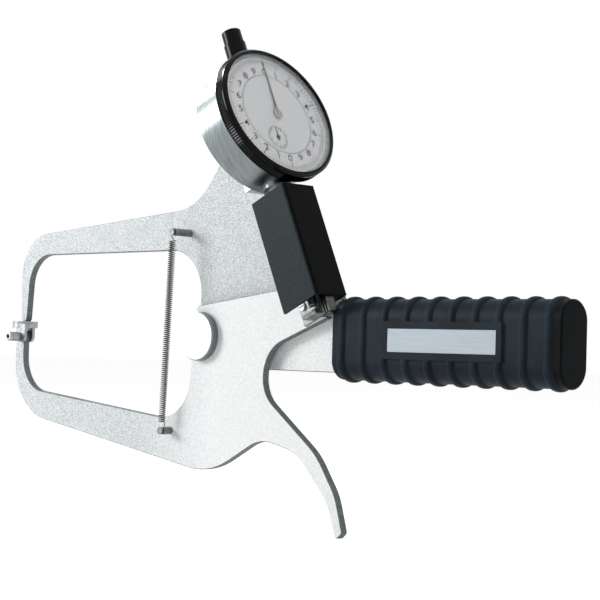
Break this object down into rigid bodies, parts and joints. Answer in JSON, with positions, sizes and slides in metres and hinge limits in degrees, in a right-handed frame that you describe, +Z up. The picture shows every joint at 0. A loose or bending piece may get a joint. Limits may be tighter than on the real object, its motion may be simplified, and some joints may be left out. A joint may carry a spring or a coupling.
{
  "type": "dial caliper gauge",
  "caption": "Hand-held caliper gauge with a fixed jaw arm, a sprung trigger-worked jaw arm, a tilted dial indicator and a ribbed grip.",
  "frame": {"origin": "measuring contact at the lowest point of the upper jaw, midway through the frame plate", "axes": "+X from the jaws to the grip, +Y away from the reader, +Z up"},
  "size_m": [0.3164, 0.057, 0.1997],
  "materials": {
    "frame_metal": "light silver hammered finish",
    "lever_metal": "light silver hammered finish",
    "bright_steel": "machined",
    "screw_steel": "plain",
    "case_chrome": "satin chrome",
    "brass": "machined",
    "black_metal": "satin black",
    "bezel_black": "gloss black",
    "grip_rubber": "matt",
    "core_plastic": "plain",
    "label_metal": "satin, bare",
    "dial_white": "satin white",
    "reflector_grey": "satin",
    "crystal_clear": "clear",
    "hand_black": "satin black"
  },
  "bodies": {
    "frame": {"frame_plate": "frame_metal", "upper_spring_post": "bright_steel", "pivot_pin": "bright_steel", "pivot_cap": "bright_steel", "pivot_washer": "brass", "pivot_nut": "bright_steel", "spindle_cover": "black_metal", "cover_screws": "screw_steel", "stop_block": "black_metal", "mounting_block": "bright_steel", "block_screws": "screw_steel", "lug_screws": "screw_steel", "grip_sleeve": "grip_rubber", "grip_core_front": "core_plastic", "grip_core_rear": "core_plastic", "grip_rivets": "screw_steel", "grip_end_cap": "grip_rubber", "name_plate": "label_metal", "drum_case": "case_chrome", "snap_ring": "screw_steel", "case_back": "case_chrome", "back_screws": "screw_steel", "stem": "bright_steel", "upper_bush": "brass", "cap_collar": "bezel_black", "dust_cap": "bezel_black", "movement_plate": "brass", "front_plate": "brass", "movement_pillars": "brass", "dial_posts": "brass", "movement_screws": "screw_steel", "inner_dial": "dial_white", "guide_rail": "brass", "hairspring": "screw_steel", "tension_spring": "bright_steel"},
    "lever": {"lever_plate": "lever_metal", "lever_bush": "brass", "lower_spring_post": "bright_steel", "anvil": "bright_steel", "anvil_screw": "bright_steel", "contact_tab": "bright_steel", "tab_screw": "screw_steel"},
    "plunger": {"plunger": "bright_steel", "contact_point": "bright_steel", "guide_pin": "bright_steel"},
    "counter": {"rack_pinion": "brass", "drive_gear": "brass", "counter_hand": "hand_black"},
    "centre": {"centre_pinion": "brass", "main_hand": "hand_black", "hand_hub": "brass"},
    "take_up": {"take_up_arbor": "brass", "take_up_gear": "brass"},
    "bezel": {"bezel": "bezel_black", "scale_ring": "dial_white", "reflector_ring": "reflector_grey", "crystal": "crystal_clear", "crystal_retainer": "bezel_black"}
  },
  "joints": [
    {"name": "lever_pivot", "type": "hinge", "parent": "frame", "child": "lever", "pos_m": [0.1312, -0.0046, -0.0052], "axis": [0, -1, 0], "range_deg": [0, 8.74], "stiffness_Nm_per_rad": 0.04, "springref_deg": -57.3, "deforming": ["tension_spring"]},
    {"name": "plunger_slide", "type": "slide", "parent": "frame", "child": "plunger", "axis": [-0.4195, 0, 0.9078], "range_m": [0, 0.0101]},
    {"name": "counter_spin", "type": "hinge", "parent": "frame", "child": "counter", "pos_m": [0.17047, -0.01305, 0.06824], "axis": [0.9078, 0, 0.4195], "range_deg": [0, 361]},
    {"name": "hand_spin", "type": "hinge", "parent": "frame", "child": "centre", "pos_m": [0.16598, -0.00971, 0.07796], "axis": [-0.9078, 0, -0.4195], "range_deg": [0, 3601]},
    {"name": "take_up_spin", "type": "hinge", "parent": "frame", "child": "take_up", "pos_m": [0.16266, -0.00178, 0.08515], "axis": [0.9078, 0, 0.4195], "range_deg": [0, 361]},
    {"name": "bezel_turn", "type": "hinge", "parent": "frame", "child": "bezel", "pos_m": [0.16598, -0.00971, 0.07796], "axis": [0.9078, 0, 0.4195], "continuous": true}
  ],
  "couplings": [
    {"joint": "plunger_slide", "follows": "lever_pivot", "m_per_rad": 0.065588},
    {"joint": "counter_spin", "follows": "lever_pivot", "ratio": 41.21},
    {"joint": "hand_spin", "follows": "lever_pivot", "ratio": 412.1},
    {"joint": "take_up_spin", "follows": "lever_pivot", "ratio": 41.21}
  ]
}
